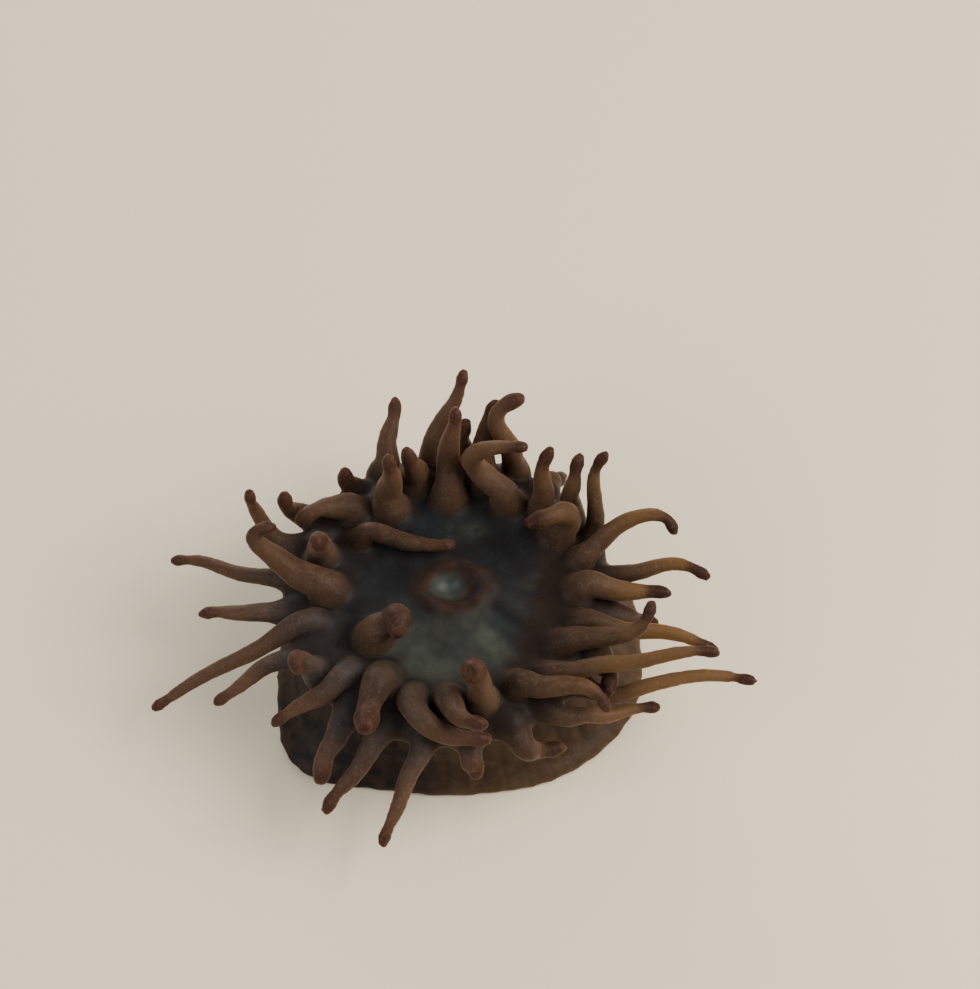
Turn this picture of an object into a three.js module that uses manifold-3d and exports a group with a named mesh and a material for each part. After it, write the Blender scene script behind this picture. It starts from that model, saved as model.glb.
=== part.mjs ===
// A brown tide-pool sea anemone, open and at rest on its foot.
// Millimetres, +Z up. The origin is on the ground under the middle of the disc; the front looks to -Y.
import * as THREE from "three";
import Module from "manifold-3d";

const wasm = await Module();
wasm.setup();

// ---------------------------------------------------------------- sizes

const GAP = 0.3; // between neighbouring solids
const AROUND = 40; // corners round the body

// The body wall from the ground up: height, half width in X, half width in Y, how square the outline is
// (2 is an ellipse), how far it stands towards +X, and how far it swells at one side. The foot spreads
// unevenly; the rim is round.
const FOOT = [
  [0.0, 18.3, 15.7, 2.6, 1.0, 2.0],
  [0.6, 18.6, 16.0, 2.6, 1.0, 2.0],
  [1.5, 18.0, 15.4, 2.55, 0.9, 1.8],
];
const COLUMN = [
  [1.5 + GAP, 17.5, 14.9, 2.5, 0.9, 1.6],
  [4.0, 16.1, 14.2, 2.35, 0.7, 1.0],
  [6.8, 15.2, 13.9, 2.15, 0.3, 0.3],
  [8.9, 15.2, 14.4, 2.05, 0.1, 0],
  [10.2, 15.7, 15.2, 2.0, 0, 0],
];
const COLLAR = [
  [10.2 + GAP, 16.0, 15.7, 2.0, 0, 0],
  [11.0, 16.5, 16.3, 2.0, 0, 0],
  [11.6, 16.3, 16.2, 2.0, 0, 0],
];
const SWELL_AT = 222; // the bearing of that side
// The top of the body: height over the ground at each distance from the mouth.
const CROWN_EDGE = [16.1, 11.6 + GAP]; // where the collar meets the zone of the tentacles
const CROWN_TOP = [
  [15.4, 12.5],
  [13.8, 13.1],
  [11.3, 13.5],
];
const CROWN_FLOOR = 11.6 + GAP;
const DISC_TOP = [
  [11.0, 13.5],
  [7.5, 13.85],
  [4.3, 14.1],
];
// The lips stand in a ring round the mouth, which is a blind pit.
const LIPS = { atX: 0.5, atY: -0.2, outerX: 3.8, outerY: 3.3, openX: 2.1, openY: 1.75, top: 15.0 };

// Tentacles stand in four rings on multiples of six. Each ring has its distance from the mouth, the
// height and radius of the roots, how much steeper the roots rise than the way to the tip, and a usual
// length: a shorter tentacle is thicker and a longer one is thinner.
const RINGS = {
  first: { out: 12.0, up: 12.2, radius: 1.5, lift: 18, usual: 12 },
  second: { out: 12.0, up: 12.2, radius: 1.45, lift: 18, usual: 12 },
  third: { out: 13.2, up: 12.1, radius: 1.32, lift: 16, usual: 11 },
  fourth: { out: 15.2, up: 11.7, radius: 1.15, lift: 12, usual: 10 },
};
const SLOTS = 48;
const TIP_RADIUS = 0.58;
const TAPER = 1.15; // over 1 keeps a tentacle thick for longer
const SWAY = 0.3; // how far a tentacle wavers to each side of its curve
const TIP_KNOB = 1.15; // the knob at the tip, as a share of the tip's radius
const TIP_NECK = 0.9; // the neck under it
const TIP_LENGTH = 2.3; // knob and neck together, in radii of the tip
const ROOT = { inward: 1.8, down: 0.9 }; // where a tentacle starts inside the body before it is cut
const SIDES = 7;
const SAMPLES = 19; // points along a tentacle's middle line
const HANDLE = 0.35; // how long a root keeps its direction, as a share of the span from root to tip
const RISE = [-15, 80]; // limits of how steeply a root rises
const SLIM = [0.82, 1.2]; // limits of how much thinner or thicker a long or short tentacle is

// How the tentacles press on each other and on the body.
const CLEAR = 0.5; // room they seek between them
const ROUNDS = 50;
const FREE_FROM = 0.25; // the share of the length over which a tentacle becomes free to move
const ROOTED = [2, 4]; // the body doesn't press on the first stretch, and then gradually does
const TOP = { height: 14, flat: 11, fall: 1.6, over: 5 }; // a plain shape of the disc and its edge
const WALL = { low: 16.1, high: 16.7, from: 8.5, to: 10.8 }; // a plain shape of the wall under it
const LIFT_STEP = 0.4; // how far the body lifts a tentacle in one round, at most

// One row per tentacle, anticlockwise from +X:
//   turn    degrees from the tentacle's own bearing to the bearing of its tip
//   reach   distance of the tip from the middle of the body
//   height  height of the tip
//   veer    bearing the tip points in, from the tentacle's own bearing
//   pitch   how steeply the tip points up
//   hook    how long the tip keeps that direction, as a share of the span from root to tip
const POSE = [
  [-2, 22.4, 14, -12, -8, 0.35],
  [-6, 25.8, 15, -32, -30, 0.35],
  [-4, 23, 17.5, -85, -45, 0.45],
  [13, 19.3, 21, 10, 45, 0.45],
  [-3, 9.6, 19.5, 170, -5, 0.75],
  [4, 17.6, 20, 20, 45, 0.35],
  [4, 15.5, 21, 10, 45, 0.35],
  [2, 20, 9, -10, -25, 0.35],
  [-8, 12.2, 25, -75, 20, 0.9],
  [-2, 18.5, 23, -60, 15, 0.5],
  [0, 18.5, 20, -40, 50, 0.35],
  [0, 17.3, 18, -20, 45, 0.35],
  [-3, 14.7, 24, -10, 70, 0.35],
  [-12, 20.7, 22, -30, 55, 0.35],
  [4, 12.4, 20.2, 30, 65, 0.35],
  [-8, 21.9, 16, -30, 25, 0.35],
  [1, 11.4, 22.5, 10, 75, 0.35],
  [1.3, 16.8, 15, 0, 80, 0.4],
  [19, 16.6, 15, 50, -50, 0.5],
  [8, 18.9, 16.4, 0, 88, 0.65],
  [-71, 4.1, 15.6, -140, -5, 0.4],
  [1, 21.3, 19.2, 0, 88, 0.7],
  [7, 13, 20, 80, 55, 0.35],
  [-6, 28.8, 8, -10, -30, 0.35],
  [-10, 17.6, 20.5, -170, -15, 0.6],
  [-3, 24.7, 12, 0, -15, 0.35],
  [2, 31.5, 5, 10, -25, 0.35],
  [3, 25.5, 10, 8, -30, 0.35],
  [24, 8.3, 17.5, 48, -10, 0.56],
  [-1, 18.2, 16.5, 75, -25, 0.6],
  [-9, 22.6, 8, 0, -35, 0.35],
  [3.9, 22.5, 9, 20, -35, 0.35],
  [4.5, 18.8, 15.8, 30, 50, 0.4],
  [-6, 24.8, 8, -10, -30, 0.35],
  [32, 17.9, 13.8, 105, 5, 0.6],
  [-6.3, 26.2, 8, -8, -30, 0.35],
  [11, 18.2, 18.2, 60, 30, 0.45],
  [1, 18.9, 9.6, 0, -45, 0.35],
  [-4, 13.4, 20.5, -15, 58, 0.35],
  [14, 18.9, 8.7, 75, 25, 0.5],
  [19, 21, 13.5, 0, -50, 0.5],
  [25, 23.6, 9, 57, -20, 0.35],
  [27, 28.2, 16, 45, -20, 0.35],
  [20, 32, 12, 30, -15, 0.35],
  [18, 20.6, 18.2, 110, 20, 0.4],
  [-14, 19.8, 13, -67, -10, 0.4],
  [4, 27.8, 10, 0, -35, 0.4],
  [4, 20.7, 9, 0, -30, 0.35],
];
// The tentacles that stand out of line (out from the mouth, shift round it), whose roots lean or rise in
// their own way, or that are stouter or blunter than usual.
const UNUSUAL = {
  2: { lean: 12, rise: 55 },
  3: { lean: 10, rise: 45 },
  4: { lean: 0, rise: 55, girth: 1.2, blunt: 1.2 },
  8: { lean: 55, rise: 62, girth: 1.25 },
  9: { girth: 1.3, blunt: 1.35 },
  10: { girth: 1.2 },
  11: { girth: 1.12 },
  12: { girth: 1.3 },
  13: { girth: 1.25 },
  14: { girth: 1.25 },
  15: { girth: 1.15 },
  16: { girth: 1.15 },
  17: { rise: 35, girth: 0.75 },
  19: { lean: 30, rise: -5 },
  20: { out: 11.5, shift: 3, lean: -120, rise: 14, girth: 0.8 },
  21: { lean: 5, rise: 0 },
  22: { girth: 1.1, blunt: 1.2 },
  24: { lean: -14, rise: 50, girth: 1.35 },
  28: { out: 10.1, shift: 8, lean: 160, rise: 66, girth: 1.12, blunt: 1.5 },
  29: { lean: 0, rise: 45 },
  30: { lean: -3, rise: 35 },
  31: { girth: 1.1, blunt: 1.3 },
  32: { blunt: 1.5 },
  33: { girth: 1.1, blunt: 1.1 },
  34: { lean: 0, rise: 45, girth: 1.2, blunt: 1.2 },
  35: { girth: 1.1 },
  36: { lean: -30, rise: 50 },
  37: { girth: 1.1, blunt: 1.2 },
  38: { lean: 0, rise: 60, blunt: 1.7 },
  39: { girth: 1.15 },
  40: { lean: 10, rise: 40 },
  42: { lean: 25, rise: 30 },
  44: { lean: 20, rise: 50 },
};

// ---------------------------------------------------------------- small helpers

const rad = THREE.MathUtils.degToRad;
const clamp = THREE.MathUtils.clamp;
const lerp = THREE.MathUtils.lerp;

/** A unit vector from a bearing (anticlockwise from +X) and a pitch above the horizontal. */
function direction(bearing, pitch) {
  const flat = Math.cos(rad(pitch));
  const turn = rad(bearing);
  return new THREE.Vector3(Math.cos(turn) * flat, Math.sin(turn) * flat, Math.sin(rad(pitch)));
}

/** A closed ring of points: an ellipse, or a squarer outline for a power over 2, swollen at one side. */
function outline(height, halfX, halfY, { power = 2, atX = 0, atY = 0, swell = 0, corners = AROUND } = {}) {
  const bend = (v) => Math.sign(v) * Math.abs(v) ** (2 / power);
  return Array.from({ length: corners }, (_, i) => {
    const turn = (i / corners) * Math.PI * 2;
    const grown = 1 + (swell / halfX) * Math.max(0, Math.cos(turn - rad(SWELL_AT))) ** 10;
    const x = halfX * grown * bend(Math.cos(turn));
    const y = halfY * grown * bend(Math.sin(turn));
    return new THREE.Vector3(atX + x, atY + y, height);
  });
}

/** A closed surface over rings of equal length, capped by fans, or joined end to end as a torus. */
function loft(rings, { endless = false, first = null, last = null } = {}) {
  const sides = rings[0].length;
  const points = rings.flat().concat(first ? [first] : [], last ? [last] : []);
  const index = [];
  const at = (ring, side) => (ring % rings.length) * sides + (side % sides);
  for (let ring = 0; ring < rings.length - (endless ? 0 : 1); ring++) {
    for (let side = 0; side < sides; side++) {
      index.push(at(ring, side), at(ring, side + 1), at(ring + 1, side + 1));
      index.push(at(ring, side), at(ring + 1, side + 1), at(ring + 1, side));
    }
  }
  let extra = rings.length * sides;
  if (first) {
    for (let side = 0; side < sides; side++) index.push(extra, at(0, side + 1), at(0, side));
    extra += 1;
  }
  if (last) {
    const end = rings.length - 1;
    for (let side = 0; side < sides; side++) index.push(extra, at(end, side), at(end, side + 1));
  }
  const numbers = points.flatMap((p) => [p.x, p.y, p.z]);
  const geometry = new THREE.BufferGeometry();
  geometry.setAttribute("position", new THREE.Float32BufferAttribute(numbers, 3));
  geometry.setIndex(index);
  return geometry;
}

/** The middle of a ring of points. */
function middle(ring) {
  return ring.reduce((sum, p) => sum.add(p), new THREE.Vector3()).divideScalar(ring.length);
}

/** A solid stack of rings with flat ends. */
function stack(rings) {
  return loft(rings, { first: middle(rings[0]), last: middle(rings[rings.length - 1]) });
}

function toManifold(geometry) {
  return new wasm.Manifold(
    new wasm.Mesh({
      numProp: 3,
      vertProperties: Float32Array.from(geometry.attributes.position.array),
      triVerts: Uint32Array.from(geometry.index.array),
    }),
  );
}

function fromManifold(solid) {
  const mesh = solid.getMesh();
  const geometry = new THREE.BufferGeometry();
  geometry.setAttribute("position", new THREE.Float32BufferAttribute(mesh.vertProperties, 3));
  geometry.setIndex(Array.from(mesh.triVerts));
  return geometry;
}

// ---------------------------------------------------------------- tentacles

/** Which ring of tentacles a slot belongs to. */
function ringOf(slot) {
  if (slot % 8 === 0) return RINGS.first;
  if (slot % 8 === 4) return RINGS.second;
  return slot % 4 === 2 ? RINGS.third : RINGS.fourth;
}

/** A tentacle's middle line before its neighbours press on it: a wavering Bezier curve in even steps. */
function sketch(slot) {
  const ring = ringOf(slot);
  const bearing = (slot * 360) / SLOTS;
  const [turn, reach, height, veer, pitch, hook] = POSE[slot];
  const usual = { out: ring.out, shift: 0, lean: 0.35 * clamp(turn, -40, 40), girth: 1, blunt: 1 };
  const own = { ...usual, ...UNUSUAL[slot] };
  const root = direction(bearing + own.shift, 0).multiplyScalar(own.out).setZ(ring.up);
  const tip = direction(bearing + turn, 0).multiplyScalar(reach).setZ(height);
  const span = root.distanceTo(tip);
  const slope = THREE.MathUtils.radToDeg(Math.asin((tip.z - root.z) / span));
  const rise = own.rise ?? clamp(slope + ring.lift, ...RISE);
  const curve = new THREE.CubicBezierCurve3(
    root,
    root.clone().addScaledVector(direction(bearing + own.lean, rise), span * HANDLE),
    tip.clone().addScaledVector(direction(bearing + veer, pitch), -span * hook),
    tip,
  );
  curve.arcLengthDivisions = 400;
  const length = curve.getLength();
  const line = curve.getSpacedPoints(SAMPLES - 1);
  const sideways = direction(bearing + turn + 90, 0);
  line.forEach((point, i) => {
    const along = i / (SAMPLES - 1);
    const swing = SWAY * Math.sin(Math.PI * along);
    point.addScaledVector(sideways, swing * Math.sin(7 * along + 2.4 * slot));
    point.z += 0.5 * swing * Math.sin(6 * along + 1.7 * slot);
  });
  const slim = clamp(Math.sqrt(ring.usual / length), ...SLIM);
  const end = TIP_RADIUS * Math.max(1, slim) * own.blunt;
  const radius = line.map((_, i) => {
    const along = i / (SAMPLES - 1);
    const belly = ring.radius * own.girth * lerp(1, slim, clamp(along / 0.15, 0, 1));
    return lerp(belly, end, along ** TAPER);
  });
  return { line, radius, length };
}

/** Height of the body's top under a point. */
function topAt(x, y) {
  const beyond = Math.max(0, Math.hypot(x, y) - TOP.flat);
  return TOP.height - TOP.fall * (beyond / TOP.over) ** 1.6;
}

/** Distance of the body's wall from its middle at a height. */
function wallAt(height) {
  return lerp(WALL.low, WALL.high, THREE.MathUtils.smoothstep(height, WALL.from, WALL.to));
}

/** Press the tentacles apart until none runs through another, through the body or into the ground. */
function settle(tentacles) {
  const all = tentacles.flatMap((t, owner) =>
    t.line.map((point, i) => {
      const along = i / (SAMPLES - 1);
      const rooted = clamp((along * t.length - ROOTED[0]) / ROOTED[1], 0, 1);
      return { point, owner, radius: t.radius[i], along, rooted, push: new THREE.Vector3() };
    }),
  );
  const steps = tentacles.map((t) => t.length / (SAMPLES - 1));
  const apart = new THREE.Vector3();
  for (let round = 0; round < ROUNDS; round++) {
    for (const p of all) {
      p.push.set(0, 0, 0);
      p.free = clamp(p.along / FREE_FROM, 0, 1);
      p.touching = 0;
    }
    for (let a = 0; a < all.length; a++) {
      for (let b = (all[a].owner + 1) * SAMPLES; b < all.length; b++) {
        const reach = all[a].radius + all[b].radius + CLEAR;
        apart.subVectors(all[a].point, all[b].point);
        const distance = apart.length();
        if (distance >= reach) continue;
        apart.multiplyScalar((reach - distance) / distance / (all[a].free + all[b].free + 1e-6));
        all[a].push.addScaledVector(apart, all[a].free);
        all[b].push.addScaledVector(apart, -all[b].free);
        all[a].touching += 1;
        all[b].touching += 1;
      }
    }
    for (const p of all) {
      p.push.divideScalar(Math.sqrt(Math.max(1, p.touching)));
      p.push.z += 0.5 * Math.max(0, p.radius + CLEAR - p.point.z) * (p.free > 0 ? 1 : 0);
      const away = Math.hypot(p.point.x, p.point.y);
      if (away < CROWN_EDGE[0]) {
        const sunk = topAt(p.point.x, p.point.y) + p.radius * 0.95 + GAP - p.point.z;
        p.push.z += 0.5 * clamp(sunk * p.rooted, 0, LIFT_STEP);
      } else if (p.point.z < CROWN_EDGE[1]) {
        const inside = Math.max(0, wallAt(p.point.z) + p.radius + GAP - away) * 0.5 * p.rooted;
        p.push.x += (p.point.x / away) * inside;
        p.push.y += (p.point.y / away) * inside;
      }
    }
    tentacles.forEach((t, owner) => {
      let push = all.slice(owner * SAMPLES, (owner + 1) * SAMPLES).map((p) => p.push.clone());
      for (let pass = 0; pass < 3; pass++) {
        push = push.map((v, i) => {
          if (i === 0) return new THREE.Vector3();
          if (i === SAMPLES - 1) return push[i].clone().add(push[i - 1]).multiplyScalar(0.5);
          return push[i - 1].clone().add(push[i + 1]).multiplyScalar(0.25).addScaledVector(v, 0.5);
        });
      }
      t.line.forEach((p, i) => p.add(push[i]));
      for (let i = 1; i < SAMPLES; i++) {
        const link = t.line[i].clone().sub(t.line[i - 1]);
        const length = link.length();
        t.line[i].copy(t.line[i - 1]).addScaledVector(link, (0.7 * length + 0.3 * steps[owner]) / length);
      }
    });
  }
  return tentacles;
}

/** The tube of one tentacle, from inside the body to a rounded, slightly knobbed tip. */
function tentacleTube({ line, radius, length }) {
  const curve = new THREE.CatmullRomCurve3(line);
  const span = curve.getLength();
  const count = Math.round(clamp(length * 0.5, 5, 8));
  const start = line[0].clone().setZ(0).setLength(-ROOT.inward).setZ(-ROOT.down);
  const centres = [line[0].clone().add(start)];
  const radii = [radius[0]];
  for (let i = 0; i <= count; i++) {
    const along = (i / count) * (1 - (TIP_LENGTH * radius[SAMPLES - 1]) / span);
    const place = along * (SAMPLES - 1);
    const low = Math.min(SAMPLES - 2, Math.floor(place));
    centres.push(curve.getPointAt(along));
    radii.push(lerp(radius[low], radius[low + 1], place - low) * (i === count ? TIP_NECK : 1));
  }
  const knob = radius[SAMPLES - 1] * TIP_KNOB;
  const end = line[SAMPLES - 1];
  const heading = curve.getTangentAt(1);
  for (const [back, share] of [[0.7, 1], [0, 0.8]]) {
    centres.push(end.clone().addScaledVector(heading, -back * knob));
    radii.push(knob * share);
  }
  // carry one frame along the line so that the sides don't twist
  let side = new THREE.Vector3(0, 0, 1);
  const rings = centres.map((centre, i) => {
    const before = centres[Math.max(0, i - 1)];
    const after = centres[Math.min(centres.length - 1, i + 1)];
    const axis = after.clone().sub(before).normalize();
    side = side.clone().addScaledVector(axis, -side.dot(axis)).normalize();
    const other = new THREE.Vector3().crossVectors(axis, side);
    return Array.from({ length: SIDES }, (_, k) => {
      const turn = (k / SIDES) * Math.PI * 2;
      return centre
        .clone()
        .addScaledVector(side, radii[i] * Math.cos(turn))
        .addScaledVector(other, radii[i] * Math.sin(turn));
    });
  });
  const pole = end.clone().addScaledVector(heading, knob * 0.45);
  return loft(rings, { first: centres[0], last: pole });
}

// ---------------------------------------------------------------- body

function stations(rows, grow = 0) {
  return rows.map(([height, halfX, halfY, power, atX, swell]) =>
    outline(height, halfX + grow, halfY + grow, { power, atX, swell }),
  );
}

function crownRings(rows, floor) {
  const inner = rows[rows.length - 1][0];
  return [
    outline(floor, inner, inner),
    outline(floor, CROWN_EDGE[0], CROWN_EDGE[0]),
    ...rows.map(([out, height]) => outline(height, out, out)),
  ];
}

function oralDisc() {
  const [edge] = DISC_TOP;
  const rings = [
    outline(CROWN_FLOOR, edge[0], edge[0]),
    ...DISC_TOP.map(([out, height]) => outline(height, out, out)),
  ];
  return stack(rings);
}

/** The lips: a low swollen ring, its section running up the outer side and down into the mouth. */
function lips() {
  const foot = DISC_TOP[DISC_TOP.length - 1][1] + GAP;
  const section = [
    [0.0, foot],
    [0.02, foot + 0.5],
    [0.3, LIPS.top - 0.1],
    [0.6, LIPS.top],
    [0.95, LIPS.top - 0.45],
    [1.0, foot],
  ];
  const rings = section.map(([inward, height]) => {
    const halfX = lerp(LIPS.outerX, LIPS.openX, inward);
    const halfY = lerp(LIPS.outerY, LIPS.openY, inward);
    return outline(height, halfX, halfY, { atX: LIPS.atX, atY: LIPS.atY, corners: 24 });
  });
  return loft(rings, { endless: true });
}

/** The whole body a little fattened, which trims the roots of the tentacles. */
function bodyEnvelope() {
  const grow = GAP;
  return stack([
    ...stations(FOOT, grow),
    ...stations(COLUMN, grow),
    ...stations(COLLAR, grow),
    outline(CROWN_FLOOR + grow, CROWN_EDGE[0] + grow, CROWN_EDGE[0] + grow),
    ...CROWN_TOP.map(([out, height]) => outline(height + grow, out, out)),
    ...DISC_TOP.map(([out, height]) => outline(height + grow, out, out)),
  ]);
}

// ---------------------------------------------------------------- the model

const materials = {
  tentacle: new THREE.MeshStandardMaterial({ name: "tentacle_flesh", color: 0x5a4032, roughness: 0.45 }),
  column: new THREE.MeshStandardMaterial({ name: "column_flesh", color: 0x6a4b38, roughness: 0.5 }),
  disc: new THREE.MeshStandardMaterial({ name: "disc_flesh", color: 0x46524a, roughness: 0.45 }),
  lip: new THREE.MeshStandardMaterial({ name: "lip_flesh", color: 0x6b3a2c, roughness: 0.45 }),
};

const group = new THREE.Group();
group.name = "sea_anemone";

function add(name, geometry, material) {
  geometry.computeVertexNormals();
  const mesh = new THREE.Mesh(geometry, material);
  mesh.name = name;
  group.add(mesh);
}

add("pedal_disc", stack(stations(FOOT)), materials.column);
add("column", stack(stations(COLUMN)), materials.column);
add("collar", stack(stations(COLLAR)), materials.column);
add("tentacle_zone", loft(crownRings(CROWN_TOP, CROWN_FLOOR), { endless: true }), materials.disc);
add("oral_disc", oralDisc(), materials.disc);
add("lips", lips(), materials.lip);

const envelope = toManifold(bodyEnvelope());
const crown = settle(Array.from({ length: SLOTS }, (_, slot) => sketch(slot)));
crown.forEach((tentacle, slot) => {
  const trimmed = toManifold(tentacleTube(tentacle)).subtract(envelope);
  add(`tentacle_${String(slot + 1).padStart(2, "0")}`, fromManifold(trimmed), materials.tentacle);
});

export default group;
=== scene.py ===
"""A brown sea anemone, open on its foot: one skin over the whole animal, and a plain stage.

Lengths inside the script are millimetres; Blender gets metres. +Z is up, and the animal is looked at from -Y.
"""

import math
from types import SimpleNamespace

import bpy
import numpy as np
from bpy.props import FloatProperty, FloatVectorProperty, PointerProperty
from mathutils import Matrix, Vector
from mathutils.bvhtree import BVHTree
from mathutils.kdtree import KDTree


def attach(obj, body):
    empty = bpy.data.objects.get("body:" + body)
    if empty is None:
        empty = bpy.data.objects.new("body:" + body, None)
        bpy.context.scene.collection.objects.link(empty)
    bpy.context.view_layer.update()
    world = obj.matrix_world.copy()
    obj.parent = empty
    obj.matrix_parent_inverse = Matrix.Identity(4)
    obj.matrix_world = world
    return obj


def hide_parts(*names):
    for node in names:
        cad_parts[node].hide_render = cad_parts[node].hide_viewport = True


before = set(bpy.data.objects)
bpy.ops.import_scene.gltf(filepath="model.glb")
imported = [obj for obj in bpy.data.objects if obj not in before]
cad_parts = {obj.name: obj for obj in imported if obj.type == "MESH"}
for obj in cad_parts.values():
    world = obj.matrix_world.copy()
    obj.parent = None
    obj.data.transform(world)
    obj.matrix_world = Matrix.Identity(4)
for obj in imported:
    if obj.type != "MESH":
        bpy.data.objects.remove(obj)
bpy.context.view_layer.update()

bl_info = {
    "name": "Sea anemone",
    "version": (1, 0, 0),
    "blender": (4, 5, 0),
    "location": "View3D > Sidebar > Anemone",
    "description": "Builds the skin of a sea anemone over its solids, and a stage for it",
    "category": "Object",
}

MM = 0.001
IMAGE = (980, 989)  # width and height of the picture in pixels
DISC_IN_IMAGE = (448, 590)  # where the middle of the disc comes in the picture
DISC_HEIGHT = 13.5

# ---------------------------------------------------------------- the body's sections

# From the middle of the foot, out under it, up the column, over the rim and in to the mouth:
# height, half width in X, half width in Y, how square the outline is (2 is an ellipse), how far it
# stands towards +X, and how far it swells at one side.
FOOT = [
    (0.0, 0.0, 0.0, 2.6, 1.0, 0.0),
    (0.0, 9.0, 8.0, 2.6, 1.0, 1.0),
    (0.0, 16.5, 14.1, 2.6, 1.0, 1.8),
    (0.0, 18.1, 15.5, 2.6, 1.0, 2.0),
    (0.25, 18.5, 15.9, 2.6, 1.0, 2.0),
    (0.8, 18.6, 16.0, 2.6, 1.0, 2.0),
    (1.4, 18.2, 15.6, 2.55, 0.9, 1.8),
]
COLUMN = [
    (2.1, 17.3, 14.8, 2.5, 0.9, 1.55),
    (4.0, 16.1, 14.2, 2.35, 0.7, 1.0),
    (6.8, 15.2, 13.9, 2.15, 0.3, 0.3),
    (8.9, 15.2, 14.4, 2.05, 0.1, 0.0),
    (10.2, 15.7, 15.3, 2.0, 0.0, 0.0),
]
COLLAR = [
    (10.7, 16.4, 16.2, 2.0, 0.0, 0.0),
    (11.2, 16.6, 16.4, 2.0, 0.0, 0.0),
    (11.8, 16.3, 16.2, 2.0, 0.0, 0.0),
    (12.3, 15.7, 15.7, 2.0, 0.0, 0.0),
]
DISC = [
    (12.8, 14.7, 14.7, 2.0, 0.0, 0.0),
    (13.2, 13.1, 13.1, 2.0, 0.0, 0.0),
    (13.5, 11.0, 11.0, 2.0, 0.0, 0.0),
    (13.8, 8.0, 7.8, 2.0, 0.0, 0.0),
    (14.0, 5.2, 4.8, 2.0, 0.3, 0.0),
]
LIPS = [
    (14.15, 4.2, 3.7, 2.0, 0.5, 0.0),
    (14.4, 3.8, 3.3, 2.0, 0.5, 0.0),
    (14.7, 3.3, 2.85, 2.0, 0.5, 0.0),
    (14.7, 2.8, 2.4, 2.0, 0.5, 0.0),
    (14.4, 2.35, 1.95, 2.0, 0.5, 0.0),
    (14.0, 2.0, 1.65, 2.0, 0.5, 0.0),
    (13.75, 1.3, 1.0, 2.0, 0.5, 0.0),
    (13.7, 0.0, 0.0, 2.0, 0.5, 0.0),
]
SWELL_AT = math.radians(222)  # the bearing of that side
SWELL_FOCUS = 10  # over 1 keeps the swelling to a narrow stretch of the wall
MOUTH_AT = (0.5, -0.2)
BODY_CORNERS = 192  # points round the body
SPLINE_STEPS = 8  # steps from one given section or point to the next

# How the living surface differs from those plain sections.
UNEVEN = [(0.28, 3, 0.6), (0.18, 5, 2.1), (0.1, 9, 4.0)]  # waves of the wall: height, how many, start
SCALLOP = 0.11  # height of the waves at the edge of the foot, one to each tentacle
FURROW = 0.06  # depth of the upright furrows of the wall
FOLD = 0.07  # height of the level folds of the wall
ROOT_DIP = 0.16  # depth of the hollows between the roots
RAY_DIP = 0.07  # depth of the rays of the disc
BROAD_SWELL = 0.16  # heights of the disc's swellings
SMALL_SWELL = 0.1
LIP_FOLD = 0.07  # heights of the folds of the lips
FINE_LIP_FOLD = 0.04
LIP_OVAL = (3.9, 2.8)  # half widths of the ring of lips, for its folds
LIP_EDGE = (3.9, 2.9)  # and for its colour
# The lobes that swell inside the mouth: place in X and Y, width, rise, and how pale they are.
LOBES = [(-0.5, 0.1, 0.85, 0.4, 1.0), (0.75, 0.35, 0.6, 0.3, 0.45), (1.6, -0.7, 0.7, 0.25, 0.2)]
LOBE_RISE, LOBE_PALENESS = 3, 4  # places of the last two in a lobe's row
# Soft marks on the disc: the two ends of each, its half width, and its strength.
PALE_MARKS = [
    ((3.9, -5.6), (6.4, -9.4), 1.5, 0.9),
    ((-3.0, -8.9), (-0.6, -9.7), 1.9, 0.6),
    ((-3.6, -5.2), (-2.6, -7.2), 1.7, 0.4),
    ((0.4, 6.4), (2.4, 6.9), 1.8, 0.4),
    ((3.7, 10.4), (3.8, 10.6), 1.1, 0.5),
    ((8.2, 0.8), (8.5, 1.0), 1.2, 0.4),
]
BLUE_MARKS = [
    ((5.6, -3.6), (8.2, -7.0), 2.2, 0.9),
    ((-1.9, 7.3), (-1.5, 7.6), 1.7, 0.8),
    ((-1.0, 10.6), (1.6, 9.8), 2.4, 0.7),
]
# Dark streaks on the disc; the second mark, left of the lips, is a painted shadow.
DARK_AND_SHADOW_MARKS = [
    ((4.6, -2.0), (8.8, -5.2), 0.9, 1.0),
    ((-4.3, 3.4), (-4.0, 0.4), 1.5, 0.9),
    ((4.8, 4.8), (7.8, 2.4), 1.5, 0.8),
]

# ---------------------------------------------------------------- the tentacles

# Each ring of tentacles: distance from the mouth, height and radius of the roots, how much steeper the
# roots rise than the way to the tip, and a usual length: a shorter tentacle is thicker, a longer thinner.
RINGS = {
    1: (12.0, 12.2, 1.5, 18, 12),
    2: (12.0, 12.2, 1.45, 18, 12),
    3: (13.2, 12.1, 1.32, 16, 11),
    4: (15.2, 11.7, 1.15, 12, 10),
}
SLOTS = 48
FURROWS = SLOTS // 2  # furrows of the wall and rays of the disc
SAMPLES = 19  # points along a tentacle's middle line
CURVE_POINTS = 401  # points of the curve that the line is measured off on
TIP_RADIUS = 0.58
TAPER = 1.15  # over 1 keeps a tentacle thick for longer
SWAY = 0.3  # how far a tentacle wavers to each side of its curve
HANDLE = 0.35  # how long a root keeps its direction, as a share of the span from root to tip
LEAN = 0.35  # how far a root leans the way its tip has turned, as a share of that turn
MOST_TURN = 40  # the most of it that counts, in degrees
RISE = (-15, 80)  # limits of how steeply a root rises
SLIM = (0.82, 1.2)  # limits of how much thinner or thicker a long or short tentacle is
SLIM_FROM = 0.15  # the share of the length over which it gets so

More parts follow.
